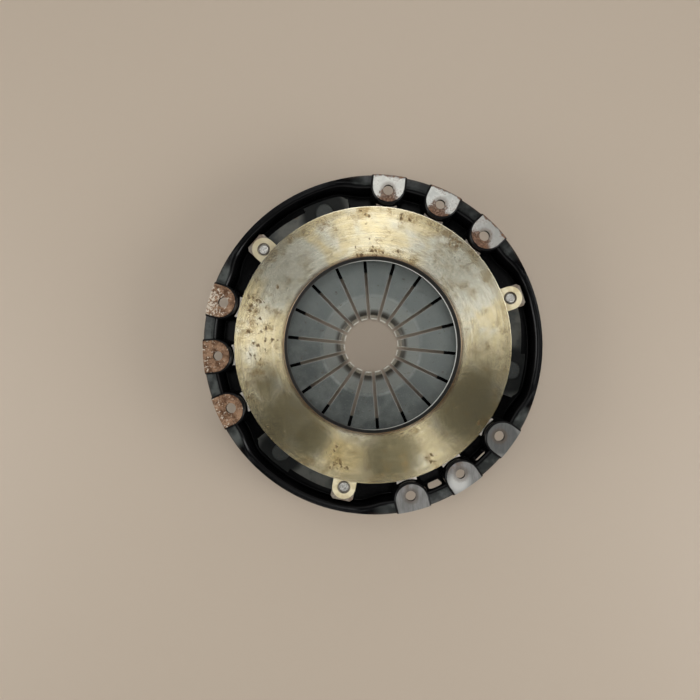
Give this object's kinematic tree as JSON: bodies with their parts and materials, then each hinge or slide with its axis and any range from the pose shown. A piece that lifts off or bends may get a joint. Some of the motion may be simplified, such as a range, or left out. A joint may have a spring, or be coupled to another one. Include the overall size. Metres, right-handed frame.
{
  "type": "clutch pressure plate",
  "caption": "Push-type diaphragm clutch cover assembly: lobed pressed-steel cover, ring-shaped friction plate on leaf straps, and a slotted diaphragm spring.",
  "frame": {"origin": "on the turning axis, in the plane of the nine pads that bolt to the flywheel", "axes": "+Z along the turning axis towards the flywheel; the assembly hangs below Z = 0, and its first group of bolt pads is centred 64.2 degrees from +X"},
  "size_m": [0.2985, 0.298, 0.048],
  "materials": {
    "black_paint": "gloss black paint on pressed steel, bare and rusted on the bolt pads",
    "cast_iron_plate": "ground and worn friction face with straw heat tint and rust spots",
    "spring_steel": "shot-peened, oiled grey",
    "strap_steel": "rolled spring strip, dull grey",
    "wire_steel": "hardened wire",
    "rivet_steel": "zinc plated"
  },
  "bodies": {
    "cover": {"cover": "black_paint", "diaphragm_spring": "spring_steel", "fulcrum_ring_cover_side": "wire_steel", "fulcrum_ring_plate_side": "wire_steel", "fulcrum_rivet_1": "rivet_steel", "fulcrum_rivet_2": "rivet_steel", "fulcrum_rivet_3": "rivet_steel", "fulcrum_rivet_4": "rivet_steel", "fulcrum_rivet_5": "rivet_steel", "fulcrum_rivet_6": "rivet_steel", "fulcrum_rivet_7": "rivet_steel", "fulcrum_rivet_8": "rivet_steel", "fulcrum_rivet_9": "rivet_steel", "cover_strap_rivet_1": "rivet_steel", "cover_strap_rivet_2": "rivet_steel", "cover_strap_rivet_3": "rivet_steel"},
    "pressure_plate": {"pressure_plate": "cast_iron_plate", "lug_rivet_1": "rivet_steel", "lug_rivet_2": "rivet_steel", "lug_rivet_3": "rivet_steel", "strap_1_leaf_1": "strap_steel", "strap_1_leaf_2": "strap_steel", "strap_1_leaf_3": "strap_steel", "strap_2_leaf_1": "strap_steel", "strap_2_leaf_2": "strap_steel", "strap_2_leaf_3": "strap_steel", "strap_3_leaf_1": "strap_steel", "strap_3_leaf_2": "strap_steel", "strap_3_leaf_3": "strap_steel"}
  },
  "joints": [
    {"name": "plate_travel", "type": "slide", "parent": "cover", "child": "pressure_plate", "axis": [0, 0, 1], "range_m": [-0.004, 0], "stiffness_N_per_m": 60000, "springref_m": 0.002, "deforming": ["diaphragm_spring", "strap_1_leaf_1", "strap_1_leaf_2", "strap_1_leaf_3", "strap_2_leaf_1", "strap_2_leaf_2", "strap_2_leaf_3", "strap_3_leaf_1", "strap_3_leaf_2", "strap_3_leaf_3"]}
  ]
}
